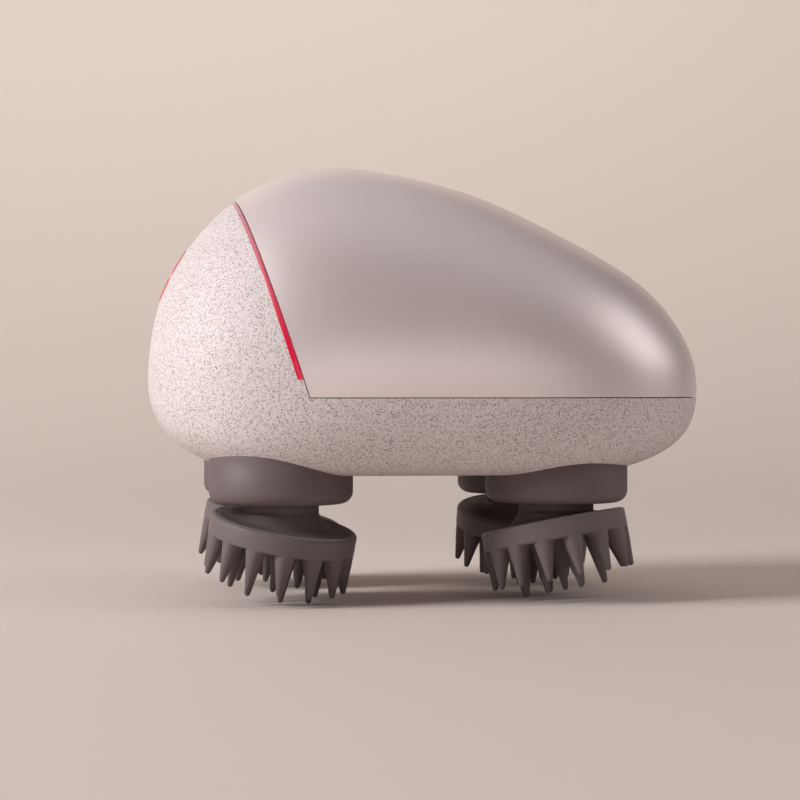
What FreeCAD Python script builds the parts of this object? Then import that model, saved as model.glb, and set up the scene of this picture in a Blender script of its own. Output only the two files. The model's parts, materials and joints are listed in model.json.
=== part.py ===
import FreeCAD, Part
import math
import os

import Sketcher
from FreeCAD import Placement, Rotation, Vector

# A palm-held scalp massager: an egg-shaped housing on four tilted finger heads.
# Origin under the middle of the housing at the height of the lowest finger tips,
# +X towards the low nose, -X towards the tall tail, +Z up. Millimetres.

os.makedirs("parts", exist_ok=True)
doc = FreeCAD.newDocument("scalp_massager")
sheet = doc.addObject("Spreadsheet::Sheet", "Sizes")
size = {}
pieces = []


def cell(alias, value):
    """Put one size in the sheet under a word and return it."""
    row = len(size) + 1
    sheet.set("A%d" % row, alias)
    sheet.set("B%d" % row, "%.5g" % value)
    sheet.setAlias("B%d" % row, alias)
    size[alias] = value
    return value


# ---------------------------------------------------------------- driving sizes
base_height = cell("base_height", 27.7)
seam_height = cell("seam_height", 43.8)
crown_height = cell("crown_height", 94.8)
wall = cell("wall", 2.2)
seam_gap = cell("seam_gap", 0.2)
seam_corner_x = cell("seam_corner_x", -28.2)
seam_top_x = cell("seam_top_x", -42.1)
seam_top_height = cell("seam_top_height", 87.1)
reach = cell("reach", 200)
half_reach = cell("half_reach", reach / 2)

guide_width = cell("guide_width", 1.1)
guide_depth = cell("guide_depth", 1.5)
guide_start = cell("guide_start", 3.9)

pattern_x = cell("pattern_x", -2.8)
spindle_y = cell("spindle_y", 20.0)
spindle_radius = cell("spindle_radius", 2.5)
spindle_foot = cell("spindle_foot", 15.6)

collar_radius = cell("collar_radius", 15.4)
collar_foot = cell("collar_foot", 21.2)
collar_edge = cell("collar_edge", 2.6)
collar_mouth = cell("collar_mouth", 8.8)
sleeve_radius = cell("sleeve_radius", 7.5)
sleeve_top = cell("sleeve_top", 33.0)
seal_radius = cell("seal_radius", 6.0)
bush_radius = cell("bush_radius", 5.0)
running_gap = cell("running_gap", 0.05)

head_tilt = cell("head_tilt", 12.0)
finger_plane = cell("finger_plane", 12.87)
rim_radius = cell("rim_radius", 15.8)
rim_depth = cell("rim_depth", 4.3)
neck_radius = cell("neck_radius", 8.1)

tooth_module = cell("tooth_module", 0.8)
centre_teeth = cell("centre_teeth", 58)
spindle_teeth = cell("spindle_teeth", 32)
pinion_teeth = cell("pinion_teeth", 13)
gear_distance = tooth_module * (centre_teeth + spindle_teeth) / 2
spindle_x = cell("spindle_x", math.sqrt(gear_distance ** 2 - spindle_y ** 2))
gear_width = cell("gear_width", 5.0)
gear_foot = cell("gear_foot", 38.0)

plate_foot = cell("plate_foot", 45.0)
plate_width = cell("plate_width", 2.0)
plate_top = cell("plate_top", plate_foot + plate_width)
motor_x = cell("motor_x", pattern_x - tooth_module * (centre_teeth + pinion_teeth) / 2)
motor_radius = cell("motor_radius", 12.0)
motor_length = cell("motor_length", 29.0)

button_x = cell("button_x", -55.5)
button_height = cell("button_height", 70.7)
button_radius = cell("button_radius", 5.0)
button_rise = cell("button_rise", 28.0)
button_travel = cell("button_travel", 0.7)
ring_inside = cell("ring_inside", 5.15)
ring_outside = cell("ring_outside", 6.4)


# ---------------------------------------------------------------- ways of making
def settle(obj, label):
    """Name a sub-part after its file and keep it for export."""
    obj.Label = label
    pieces.append(obj)
    return obj


def primitive(kind, name, place, **sizes):
    """One of Part's primitives with every size bound to the sheet."""
    obj = doc.addObject("Part::" + kind, name)
    for prop, alias in sizes.items():
        obj.setExpression(prop, "Sizes." + alias)
    obj.Placement = place
    return obj


def cut(name, base, tool):
    obj = doc.addObject("Part::Cut", name)
    obj.Base = base
    obj.Tool = tool
    return obj


def join(kind, name, shapes):
    """Part::MultiFuse or Part::MultiCommon of a list of objects."""
    obj = doc.addObject("Part::" + kind, name)
    obj.Shapes = shapes
    return obj


def plane_of(body, role):
    return next(plane for plane in body.Origin.OriginFeatures if plane.Role == role)


def outline_sketch(body, name, role, corners):
    """A closed straight-sided sketch whose corners are pairs of sheet words or 0."""
    sketch = body.newObject("Sketcher::SketchObject", name)
    sketch.AttachmentSupport = [(plane_of(body, role), "")]
    sketch.MapMode = "FlatFace"
    points = [Vector(size.get(across, 0), size.get(up, 0), 0) for across, up in corners]
    for i, point in enumerate(points):
        sketch.addGeometry(Part.LineSegment(point, points[(i + 1) % len(points)]), False)
    for i in range(len(points)):
        sketch.addConstraint(Sketcher.Constraint("Coincident", i - 1 if i else len(points) - 1, 2, i, 1))
    for i, corner in enumerate(corners):
        for kind, axis, alias in zip(("DistanceX", "DistanceY"), (-2, -1), corner):
            if alias == 0:
                sketch.addConstraint(Sketcher.Constraint("PointOnObject", i, 1, axis))
                continue
            index = sketch.addConstraint(Sketcher.Constraint(kind, -1, 1, i, 1, size[alias]))
            sketch.setExpression("Constraints[%d]" % index, "Sizes." + alias)
    return sketch


def turned(name, corners, place=Placement()):
    """A body turned about its own Z from a half profile of (radius, height) words."""
    body = doc.addObject("PartDesign::Body", name)
    profile = outline_sketch(body, name + "_profile", "XZ_Plane", corners)
    turn = body.newObject("PartDesign::Revolution", name + "_turn")
    turn.Profile = profile
    turn.ReferenceAxis = (profile, ["V_Axis"])
    turn.Angle = 360
    body.Placement = place
    return body


def round_edges(body, alias, wanted):
    """Round the edges of the body's tip that the test picks out."""
    doc.recompute()
    tip = body.Tip
    names = ["Edge%d" % (i + 1) for i, edge in enumerate(tip.Shape.Edges) if wanted(edge)]
    fillet = body.newObject("PartDesign::Fillet", body.Name + "_round")
    fillet.Base = (tip, names)
    fillet.setExpression("Radius", "Sizes." + alias)
    return body


def raw(name, shape, place=Placement()):
    """A feature whose shape comes straight from Part's functions."""
    obj = doc.addObject("Part::Feature", name)
    obj.Shape = shape
    obj.Placement = place
    return obj


def at(x, y, z, turn=0):
    return Placement(Vector(x, y, z), Rotation(Vector(0, 0, 1), turn))


# ---------------------------------------------------------------- housing form
# Level outlines of the housing: height, tail x, nose x, half width, and the
# exponent of the rounded outline (2 is an ellipse, larger is squarer).
LEVELS = [
    (27.7, -39.5, 39.5, 32.0, 3.8),
    (29.3, -46.4, 46.0, 36.2, 3.7),
    (32.2, -52.6, 52.9, 39.6, 3.4),
    (36.9, -57.7, 58.3, 42.2, 3.1),
    (43.8, -60.7, 60.8, 43.5, 2.8),
    (52.0, -60.8, 60.2, 43.6, 2.7),
    (60.0, -59.7, 56.5, 42.4, 2.6),
    (68.0, -57.2, 49.6, 39.8, 2.5),
    (76.0, -52.6, 37.5, 35.8, 2.4),
    (83.0, -46.8, 24.2, 30.2, 2.3),
    (88.5, -40.2, 11.8, 23.6, 2.2),
    (92.4, -32.5, -2.4, 15.6, 2.1),
    (94.8, -24.2, -13.4, 6.0, 2.0),
]


OUTLINE_POINTS = 28


def level_outline(tail, nose, half_width, power, height):
    """Closed smooth outline |x/a|^p + |y/b|^p = 1 between tail and nose."""
    middle = (tail + nose) / 2
    half_length = (nose - tail) / 2
    points = []
    for step in range(OUTLINE_POINTS):
        turn = 2 * math.pi * step / OUTLINE_POINTS
        away = (abs(math.cos(turn)) ** power + abs(math.sin(turn)) ** power) ** (-1 / power)
        across = half_width * away * math.sin(turn)
        points.append(Vector(middle + half_length * away * math.cos(turn), across, height))
    curve = Part.BSplineCurve()
    curve.interpolate(Points=points, PeriodicFlag=True)
    return Part.Wire(curve.toShape())


def housing_form(inset):
    """The housing's solid form, drawn in by inset all round."""
    span = crown_height - base_height
    wires = []
    for height, tail, nose, half_width, power in LEVELS:
        level = base_height + inset + (height - base_height) * (span - 2 * inset) / span
        wires.append(level_outline(tail + inset, nose - inset, half_width - inset, power, level))
    return Part.makeLoft(wires, True, False)


outer_form = raw("outer_form", housing_form(0))
cavity = raw("cavity", housing_form(wall))
guide_bed = raw("guide_bed", housing_form(guide_depth))
shell_blank = cut("shell_blank", outer_form, cavity)

# The slanted seam leans back over the tail: its own Z runs up the seam, its own X
# points to the cover's side.
seam_lean = math.degrees(math.atan2(seam_top_x - seam_corner_x, seam_top_height - seam_height))
lean = Rotation(Vector(0, 1, 0), seam_lean)


def seam_box(name, along, up, **sizes):
    """A box laid on the slanted seam, moved along its own X and Z."""
    corner = Vector(seam_corner_x, 0, seam_height) + lean.multVec(Vector(along, -half_reach, up))
    return primitive("Box", name, Placement(corner, lean), **sizes)


def cover_zone(name, gap):
    """Everything above the level seam and on the nose side of the slanted one."""
    above = primitive("Box", name + "_above", at(-half_reach, -half_reach, seam_height + gap),
                      Length="reach", Width="reach", Height="reach")
    ahead = seam_box(name + "_ahead", gap, -half_reach, Length="reach", Width="reach", Height="reach")
    return join("MultiCommon", name, [above, ahead])


settle(join("MultiCommon", "top_cover", [shell_blank, cover_zone("cover_zone", seam_gap / 2)]),
       "top_cover")

# ---------------------------------------------------------------- light guide
# A clear red hoop in a groove on the tail side of the slanted seam.
hoop_slot = seam_box("hoop_slot", -guide_width - seam_gap / 2, guide_start,
                     Length="guide_width", Width="reach", Height="half_reach")
hoop_skin = cut("hoop_skin", outer_form, guide_bed)
settle(join("MultiCommon", "light_guide", [hoop_skin, hoop_slot]), "light_guide")

# ---------------------------------------------------------------- power button
# The button pushes along its own -Z, into the tail; its own Z points out of it.
button_lean = Rotation(Vector(0, 1, 0), -90 + button_rise)
button_centre = Vector(button_x, 0, button_height)


def button_axis(depth):
    return Placement(button_centre + button_lean.multVec(Vector(0, 0, depth)), button_lean)


button_depth = cell("button_depth", 2.4)
cell("button_length", 5.2)
ring_depth = cell("ring_depth", 3.0)
cell("ring_length", 8.0)
cell("stem_radius", 1.6)
stem_length = cell("stem_length", 3.4)
ring_proud = cell("ring_proud", 0.35)
proud_form = raw("proud_form", housing_form(-ring_proud))
ring_tube = cut("ring_tube",
                primitive("Cylinder", "ring_outer", button_axis(-ring_depth),
                          Radius="ring_outside", Height="ring_length"),
                primitive("Cylinder", "ring_inner", button_axis(-ring_depth),
                          Radius="ring_inside", Height="ring_length"))
settle(join("MultiCommon", "button_ring", [ring_tube, proud_form]), "button_ring")
button_head = join("MultiCommon", "button_head", [
    primitive("Cylinder", "button_blank", button_axis(-button_depth),
              Radius="button_radius", Height="button_length"),
    outer_form])
button_stem = primitive("Cylinder", "button_stem", button_axis(-button_depth - stem_length),
                        Radius="stem_radius", Height="stem_length")
settle(join("MultiFuse", "power_button", [button_head, button_stem]), "power_button")

switch_side = cell("switch_side", 6.0)
switch_deep = cell("switch_deep", 3.0)
board_side = cell("board_side", 16.0)
board_deep = cell("board_deep", 1.2)
switch_face = -button_depth - stem_length - button_travel - 0.1


def behind_button(side, depth):
    """Corner of a square part centred on the button's axis, at that depth below the skin."""
    return Placement(button_centre + button_lean.multVec(Vector(-side / 2, -side / 2, depth)), button_lean)


settle(primitive("Box", "tact_switch", behind_button(switch_side, switch_face - switch_deep),
                 Length="switch_side", Width="switch_side", Height="switch_deep"), "tact_switch")
settle(primitive("Box", "switch_board", behind_button(board_side, switch_face - switch_deep - board_deep),
                 Length="board_side", Width="board_side", Height="board_deep"), "switch_board")

# ---------------------------------------------------------------- lower shell
# One moulding with the tail: the blank without the cover's zone, the hoop's
# groove, the button's hole, the collars' holes and the contacts' seat.
CORNERS = {
    "front_left": (-1, -1, -38.0),
    "front_right": (1, -1, 145.0),
    "rear_right": (1, 1, -80.0),
    "rear_left": (-1, 1, -20.0),
}
contact_x = cell("contact_x", 12.0)
contact_radius = cell("contact_radius", 4.0)
contact_across = cell("contact_across", 2 * contact_radius)
contact_spread = cell("contact_spread", 10.0)
cell("contact_height", 3.6)
cell("sleeve_hole", size["sleeve_radius"] + 0.05)
cell("sleeve_reach", 20.0)
below_base = base_height - 7


def contact_form(name):
    """An upright solid with round ends, lying across the housing."""
    half_spread = contact_spread / 2
    ends = [primitive("Cylinder", "%s_end_%d" % (name, side), at(contact_x, side * half_spread, base_height),
                      Radius="contact_radius", Height="contact_height") for side in (-1, 1)]
    middle = primitive("Box", name + "_middle", at(contact_x - contact_radius, -half_spread, base_height),
                       Length="contact_across", Width="contact_spread", Height="contact_height")
    return join("MultiFuse", name, ends + [middle])


openings = [cover_zone("shell_zone", -seam_gap / 2),
            join("MultiCommon", "hoop_groove", [hoop_skin, seam_box(
                "groove_slot", -guide_width - seam_gap / 2, guide_start - running_gap,
                Length="reach", Width="reach", Height="half_reach")]),
            primitive("Cylinder", "ring_hole", button_axis(-ring_depth - 1),
                      Radius="ring_outside", Height="ring_length"),
            contact_form("contact_seat")]
for corner, (along, across, _) in CORNERS.items():
    openings.append(primitive("Cylinder", "sleeve_hole_" + corner,
                              at(pattern_x + along * spindle_x, across * spindle_y, below_base),
                              Radius="sleeve_hole", Height="sleeve_reach"))
settle(cut("lower_shell", shell_blank, join("MultiFuse", "shell_openings", openings)), "lower_shell")

# Charging contacts: a moulded holder with two sprung pins through it.
pin_y = cell("pin_y", 4.5)
cell("pin_hole", 1.25)
cell("pin_radius", 1.2)
cell("pin_length", 7.0)
holder_holes = [primitive("Cylinder", "pin_hole_%d" % side, at(contact_x, side * pin_y, below_base),
                          Radius="pin_hole", Height="sleeve_reach") for side in (-1, 1)]
settle(cut("contact_holder", contact_form("holder_blank"), join("MultiFuse", "pin_holes", holder_holes)),
       "contact_holder")
pins = [primitive("Cylinder", "pin_%d" % side, at(contact_x, side * pin_y, base_height),
                  Radius="pin_radius", Height="pin_length") for side in (-1, 1)]
settle(join("MultiFuse", "charging_pins", pins), "charging_pins")

# ---------------------------------------------------------------- gears
tooth_thinning = 0.14
pressure_angle = math.radians(20)
tip_share = 0.9
root_share = 1.2


def gear_shape(teeth, bore):
    """A spur gear: each tooth is two involute flanks, a tip arc and a root arc."""
    pitch_radius = tooth_module * teeth / 2
    base_radius = pitch_radius * math.cos(pressure_angle)
    tip_radius = pitch_radius + tip_share * tooth_module
    root_radius = pitch_radius - root_share * tooth_module
    foot_radius = max(base_radius, root_radius + 0.05)

    def roll(radius):
        pressure = math.acos(min(1.0, base_radius / radius))
        return math.tan(pressure) - pressure

    half_tooth = (math.pi / teeth - tooth_thinning / pitch_radius) / 2 + roll(pitch_radius)

    def spot(radius, turn):
        return Vector(radius * math.cos(turn), radius * math.sin(turn), 0)

    def flank(radius):
        return half_tooth - roll(radius)

    middle_radius = (foot_radius + tip_radius) / 2
    edges = []
    for tooth in range(teeth):
        mid = 2 * math.pi * tooth / teeth
        after = mid + math.pi / teeth
        foot, waist, tip = (flank(radius) for radius in (foot_radius, middle_radius, tip_radius))
        rise = [spot(foot_radius, mid - foot), spot(middle_radius, mid - waist), spot(tip_radius, mid - tip)]
        fall = [spot(tip_radius, mid + tip), spot(middle_radius, mid + waist), spot(foot_radius, mid + foot)]
        root = [spot(root_radius, mid + foot), spot(root_radius, after),
                spot(root_radius, mid + 2 * math.pi / teeth - foot)]
        edges.append(Part.LineSegment(spot(root_radius, mid - foot), rise[0]).toShape())
        edges.append(Part.Arc(*rise).toShape())
        edges.append(Part.Arc(rise[2], spot(tip_radius, mid), fall[0]).toShape())
        edges.append(Part.Arc(*fall).toShape())
        edges.append(Part.LineSegment(fall[2], root[0]).toShape())
        edges.append(Part.Arc(*root).toShape())
    outline = Part.Face(Part.Wire(edges))
    bore_disc = Part.Face(Part.Wire(Part.makeCircle(bore)))
    return outline.cut(bore_disc).extrude(Vector(0, 0, gear_width))


def mesh_turn(direction, teeth):
    """Turn of a gear that sits in that direction from the centre gear, in mesh at rest."""
    pitch = 360 / centre_teeth
    off = round(direction / pitch) * pitch - direction
    return direction + 180 - off * centre_teeth / teeth + 180 / teeth


cell("axle_radius", 2.5)
cell("axle_foot", base_height + wall)
cell("axle_length", plate_top - base_height - wall)
centre_gear_shape = gear_shape(centre_teeth, size["axle_radius"] + running_gap)
settle(raw("centre_gear", centre_gear_shape, at(pattern_x, 0, gear_foot)), "centre_gear")
settle(primitive("Cylinder", "centre_axle", at(pattern_x, 0, size["axle_foot"]), Radius="axle_radius",
                 Height="axle_length"), "centre_axle")

# ---------------------------------------------------------------- gearmotor
cell("shaft_radius", 1.5)
cell("shaft_length", plate_top - gear_foot + 0.5)
settle(raw("motor_pinion", gear_shape(pinion_teeth, size["shaft_radius"]),
           at(motor_x, 0, gear_foot, mesh_turn(180, pinion_teeth))), "motor_pinion")
settle(primitive("Cylinder", "motor_shaft", at(motor_x, 0, gear_foot - 0.5), Radius="shaft_radius",
                 Height="shaft_length"), "motor_shaft")
cell("bracket_width", 1.6)
cell("bracket_top", plate_top + size["bracket_width"])
cell("motor_top", size["bracket_top"] + motor_length)
cell("can_radius", 11.0)
cell("can_foot", size["bracket_top"] + 12)
cell("pilot_radius", 2.0)
settle(turned("gearmotor", [("pilot_radius", "bracket_top"), ("motor_radius", "bracket_top"),
                            ("motor_radius", "can_foot"), ("can_radius", "can_foot"),
                            ("can_radius", "motor_top"), (0, "motor_top"), (0, "can_foot"),
                            ("pilot_radius", "can_foot")], at(motor_x, 0, 0)), "gearmotor")
cell("bracket_radius", 13.0)
cell("ear_length", 18.0)
ear_width = cell("ear_width", 26.0)
cell("screw_hole", 1.3)
cell("screw_reach", 12.0)
below_plate = plate_foot - 4
motor_screw_spots = [(motor_x + 12, -10), (motor_x + 12, 10)]
bracket_disc = primitive("Cylinder", "bracket_disc", at(motor_x, 0, plate_top),
                         Radius="bracket_radius", Height="bracket_width")
bracket_ears = primitive("Box", "bracket_ears", at(motor_x, -ear_width / 2, plate_top),
                         Length="ear_length", Width="ear_width", Height="bracket_width")
bracket_holes = [primitive("Cylinder", "bracket_hole_%d" % i, at(x, y, below_plate),
                           Radius="screw_hole", Height="screw_reach")
                 for i, (x, y) in enumerate(motor_screw_spots)]
bracket_holes.append(primitive("Cylinder", "bracket_bore", at(motor_x, 0, below_plate),
                               Radius="pilot_radius", Height="screw_reach"))
settle(cut("motor_bracket", join("MultiFuse", "bracket_blank", [bracket_disc, bracket_ears]),
           join("MultiFuse", "bracket_openings", bracket_holes)), "motor_bracket")


# ---------------------------------------------------------------- screws, standoffs, plate
cell("shank_radius", 1.25)
cell("head_radius", 2.4)
cell("head_height", 1.5)
shank_length = cell("shank_length", 5.0)


def screws(label, spots, seat):
    """Pan-head screws, head up, on one seat height, as one node."""
    shapes = []
    for i, (x, y) in enumerate(spots):
        shank = primitive("Cylinder", "%s_shank_%d" % (label, i), at(x, y, seat - shank_length),
                          Radius="shank_radius", Height="shank_length")
        head = primitive("Cylinder", "%s_head_%d" % (label, i), at(x, y, seat),
                         Radius="head_radius", Height="head_height")
        shapes += [shank, head]
    settle(join("MultiFuse", label, shapes), label)


POSTS = [(pattern_x, -32), (pattern_x, 32), (45, 0), (-47, 0)]
cell("post_radius", 3.0)
cell("post_length", plate_foot - base_height - wall)
posts = [primitive("Cylinder", "post_%d" % i, at(x, y, base_height + wall), Radius="post_radius",
                   Height="post_length") for i, (x, y) in enumerate(POSTS)]
post_holes = [primitive("Cylinder", "post_hole_%d" % i, at(x, y, below_plate), Radius="screw_hole",
                        Height="screw_reach") for i, (x, y) in enumerate(POSTS)]
post_set = join("MultiCommon", "posts_on_floor", [join("MultiFuse", "post_set", posts), cavity])
settle(cut("standoffs", post_set, join("MultiFuse", "post_holes", post_holes)), "standoffs")
screws("plate_screws", POSTS, plate_top)
screws("motor_screws", motor_screw_spots, size["bracket_top"])

plate_half_length, plate_half_width, plate_power = 55.0, 37.0, 2.6
plate_outline = Part.Face(level_outline(-plate_half_length, plate_half_length, plate_half_width,
                                        plate_power, plate_foot))
gear_plate_blank = raw("gear_plate_blank", plate_outline.extrude(Vector(0, 0, plate_width)))
plate_openings = [primitive("Cylinder", "plate_post_%d" % i, at(x, y, below_plate), Radius="screw_hole",
                            Height="screw_reach") for i, (x, y) in enumerate(POSTS)]
plate_openings += [primitive("Cylinder", "plate_ear_%d" % i, at(x, y, below_plate),
                             Radius="screw_hole", Height="screw_reach")
                   for i, (x, y) in enumerate(motor_screw_spots)]
cell("upper_bush_radius", 4.5)
for corner, (along, across, _) in CORNERS.items():
    plate_openings.append(primitive("Cylinder", "plate_bush_" + corner,
                                    at(pattern_x + along * spindle_x, across * spindle_y, below_plate),
                                    Radius="upper_bush_radius", Height="screw_reach"))
plate_openings.append(primitive("Cylinder", "plate_axle", at(pattern_x, 0, below_plate),
                                Radius="axle_radius", Height="screw_reach"))
plate_openings.append(primitive("Cylinder", "plate_shaft", at(motor_x, 0, below_plate),
                                Radius="pilot_radius", Height="screw_reach"))
settle(cut("gear_plate", gear_plate_blank, join("MultiFuse", "plate_openings", plate_openings)), "gear_plate")

# ---------------------------------------------------------------- battery and boards
cell("battery_length", 40.0)
battery_width = cell("battery_width", 26.0)
battery_height = cell("battery_height", 11.0)
tray_wall = 2.0
cell("tray_length", size["battery_length"] + 2 * tray_wall)
cell("tray_width", battery_width + 2 * tray_wall)
cell("tray_height", 5.0)
cell("main_length", 38.0)
cell("main_width", 30.0)
cell("main_deep", 1.6)
battery_x = -6.0
tray_foot = plate_top + size["head_height"] + 0.5
battery_foot = tray_foot + tray_wall


def battery_block(name):
    return primitive("Box", name, at(battery_x, -battery_width / 2, battery_foot),
                     Length="battery_length", Width="battery_width", Height="battery_height")


tray_blank = primitive("Box", "tray_blank", at(battery_x - tray_wall, -size["tray_width"] / 2, tray_foot),
                       Length="tray_length", Width="tray_width", Height="tray_height")
settle(cut("battery_tray", tray_blank, battery_block("battery_seat")), "battery_tray")
settle(battery_block("battery"), "battery")
main_board_foot = battery_foot + battery_height + 1
settle(primitive("Box", "main_board", at(battery_x, -size["main_width"] / 2, main_board_foot),
                 Length="main_length", Width="main_width", Height="main_deep"), "main_board")
led_width = cell("led_width", 14.0)
led_deep = cell("led_deep", 1.2)
cell("led_height", 3.6)
led_up_seam = 37.5
seam_corner = Vector(seam_corner_x, 0, seam_height)
led_corner = seam_corner + lean.multVec(Vector(-led_deep, -led_width / 2, led_up_seam))
settle(primitive("Box", "led_board", Placement(led_corner, lean),
                 Length="led_deep", Width="led_width", Height="led_height"), "led_board")

# ---------------------------------------------------------------- massage heads
# Each head hangs on an upright spindle; its round carrier is tilted on it, so the
# finger pad sways as the spindle turns.
cell("collar_top", 36.0)
cell("seal_foot", 24.0)
cell("seal_top", 25.6)
cell("seal_lip", spindle_radius + 0.1)
cell("bush_foot", 25.8)
cell("bush_bore", spindle_radius + running_gap)
cell("bush_flange", 6.2)
cell("bush_flange_foot", sleeve_top)
cell("bush_top", sleeve_top + 1.2)
cell("upper_flange", 6.0)
cell("upper_flange_foot", plate_foot - 1.2)
cell("upper_bush_foot", plate_foot)
cell("upper_bush_top", plate_top)
cell("spindle_top", plate_top + 0.6)
neck_foot = cell("neck_foot", 16.2)
cell("neck_height", 6.8)
cell("pad_floor", 1.8)
cell("pad_lip", 14.3)
cell("carrier_foot", 1.85)
cell("carrier_radius", 14.25)
cell("carrier_edge", 4.35)
cell("flare_radius", 11.2)
cell("flare_height", 4.85)
cell("shoulder_radius", 9.0)
cell("shoulder_height", 5.5)
cell("finger_root", 2.1)
cell("finger_tip", 0.6)
cell("outer_finger", 8.9)
cell("inner_finger", 11.4)
finger_sink = 0.3
FINGER_RINGS = [(14, 13.65, 9.0, "outer_finger"), (8, 8.6, 4.0, "inner_finger"), (1, 0.0, 0.0, "inner_finger")]


def head_place(x, y, low_side):
    """The tilted frame of a finger pad whose low side faces the given direction."""
    tilt = Rotation(Vector(0, 0, 1), low_side) * Rotation(Vector(0, 1, 0), head_tilt)
    return Placement(Vector(x, y, finger_plane), tilt)


def finger_pad(corner, place):
    """A dished soft disc with two rings of pointed fingers and one in the middle."""
    disc = turned("pad_disc_" + corner, [(0, 0), ("rim_radius", 0), ("rim_radius", "rim_depth"),
                                         ("pad_lip", "rim_depth"), ("pad_lip", "pad_floor"), (0, "pad_floor")])
    shapes = [disc]
    for count, ring, splay, length in FINGER_RINGS:
        for i in range(count):
            around = Rotation(Vector(0, 0, 1), 360 * i / count)
            splayed = around * Rotation(Vector(0, 1, 0), 180 - splay)
            pose = Placement(around.multVec(Vector(ring, 0, finger_sink)), splayed)
            shapes.append(primitive("Cone", "finger_%s_%s_%d" % (corner, length, len(shapes)), pose,
                                    Radius1="finger_root", Radius2="finger_tip", Height=length))
    pad = settle(join("MultiFuse", "finger_pad_" + corner, shapes), "finger_pad_" + corner)
    pad.Placement = place
    return pad


def head_carrier(corner, x, y, place):
    """A tilted disc that flares up into an upright neck with the spindle's socket."""
    flare = turned("flare_" + corner, [(0, "carrier_foot"), ("carrier_radius", "carrier_foot"),
                                       ("carrier_radius", "carrier_edge"), ("flare_radius", "flare_height"),
                                       ("shoulder_radius", "shoulder_height"), (0, "shoulder_height")], place)
    neck = primitive("Cylinder", "neck_" + corner, at(x, y, neck_foot), Radius="neck_radius",
                     Height="neck_height")
    socket = primitive("Cylinder", "socket_" + corner, at(x, y, spindle_foot), Radius="spindle_radius",
                       Height="sleeve_reach")
    settle(cut("head_carrier_" + corner, join("MultiFuse", "carrier_blank_" + corner, [flare, neck]), socket),
           "head_carrier_" + corner)


for corner, (along, across, low_side) in CORNERS.items():
    x = pattern_x + along * spindle_x
    y = across * spindle_y
    upright = at(x, y, 0)
    collar = turned("collar_blank_" + corner, [
        ("collar_mouth", "collar_foot"), ("collar_radius", "collar_foot"), ("collar_radius", "collar_top"),
        ("bush_radius", "collar_top"), ("bush_radius", "seal_top"), ("seal_radius", "seal_top"),
        ("seal_radius", "seal_foot"), ("collar_mouth", "seal_foot")], upright)
    round_edges(collar, "collar_edge", lambda edge: abs(edge.BoundBox.XLength - 2 * collar_radius) < 0.1
                and edge.BoundBox.ZMax < collar_foot + 0.1 and edge.BoundBox.ZLength < 0.1)
    cap = cut("collar_cap_" + corner, collar, outer_form)
    sleeve = turned("collar_sleeve_" + corner, [
        ("bush_radius", "seal_top"), ("sleeve_radius", "seal_top"),
        ("sleeve_radius", "sleeve_top"), ("bush_radius", "sleeve_top")], upright)
    settle(join("MultiFuse", "collar_" + corner, [cap, sleeve]), "collar_" + corner)
    settle(turned("lip_seal_" + corner, [("seal_lip", "seal_foot"), ("seal_radius", "seal_foot"),
                                         ("seal_radius", "seal_top"), ("seal_lip", "seal_top")], upright),
           "lip_seal_" + corner)
    settle(turned("lower_bush_" + corner, [
        ("bush_bore", "bush_foot"), ("bush_radius", "bush_foot"), ("bush_radius", "bush_flange_foot"),
        ("bush_flange", "bush_flange_foot"), ("bush_flange", "bush_top"), ("bush_bore", "bush_top")], upright),
        "lower_bush_" + corner)
    settle(turned("upper_bush_" + corner, [
        ("bush_bore", "upper_flange_foot"), ("upper_flange", "upper_flange_foot"),
        ("upper_flange", "upper_bush_foot"), ("upper_bush_radius", "upper_bush_foot"),
        ("upper_bush_radius", "upper_bush_top"), ("bush_bore", "upper_bush_top")], upright),
        "upper_bush_" + corner)
    settle(turned("spindle_" + corner, [(0, "spindle_foot"), ("spindle_radius", "spindle_foot"),
                                        ("spindle_radius", "spindle_top"), (0, "spindle_top")], upright),
           "spindle_" + corner)
    direction = math.degrees(math.atan2(y, x - pattern_x))
    settle(raw("spindle_gear_" + corner, gear_shape(spindle_teeth, spindle_radius),
               at(x, y, gear_foot, mesh_turn(direction, spindle_teeth))), "spindle_gear_" + corner)
    tilted = head_place(x, y, low_side)
    head_carrier(corner, x, y, tilted)
    finger_pad(corner, tilted)

# ---------------------------------------------------------------- check and export
doc.recompute()
for obj in doc.Objects:
    if "Invalid" in obj.State or "Error" in obj.State:
        raise RuntimeError("%s failed: %s" % (obj.Label, obj.State))
for piece in pieces:
    shape = piece.Shape
    if shape.isNull() or not shape.isValid() or shape.Volume <= 0:
        raise RuntimeError("%s has no valid solid" % piece.Label)
    print("%-28s solids %d volume %9.1f  z %6.2f %6.2f" % (
        piece.Label, len(shape.Solids), shape.Volume, shape.BoundBox.ZMin, shape.BoundBox.ZMax))
    shape.exportStep("parts/%s.step" % piece.Label)
print("%d sub-parts" % len(pieces))
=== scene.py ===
import json
import math

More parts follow.
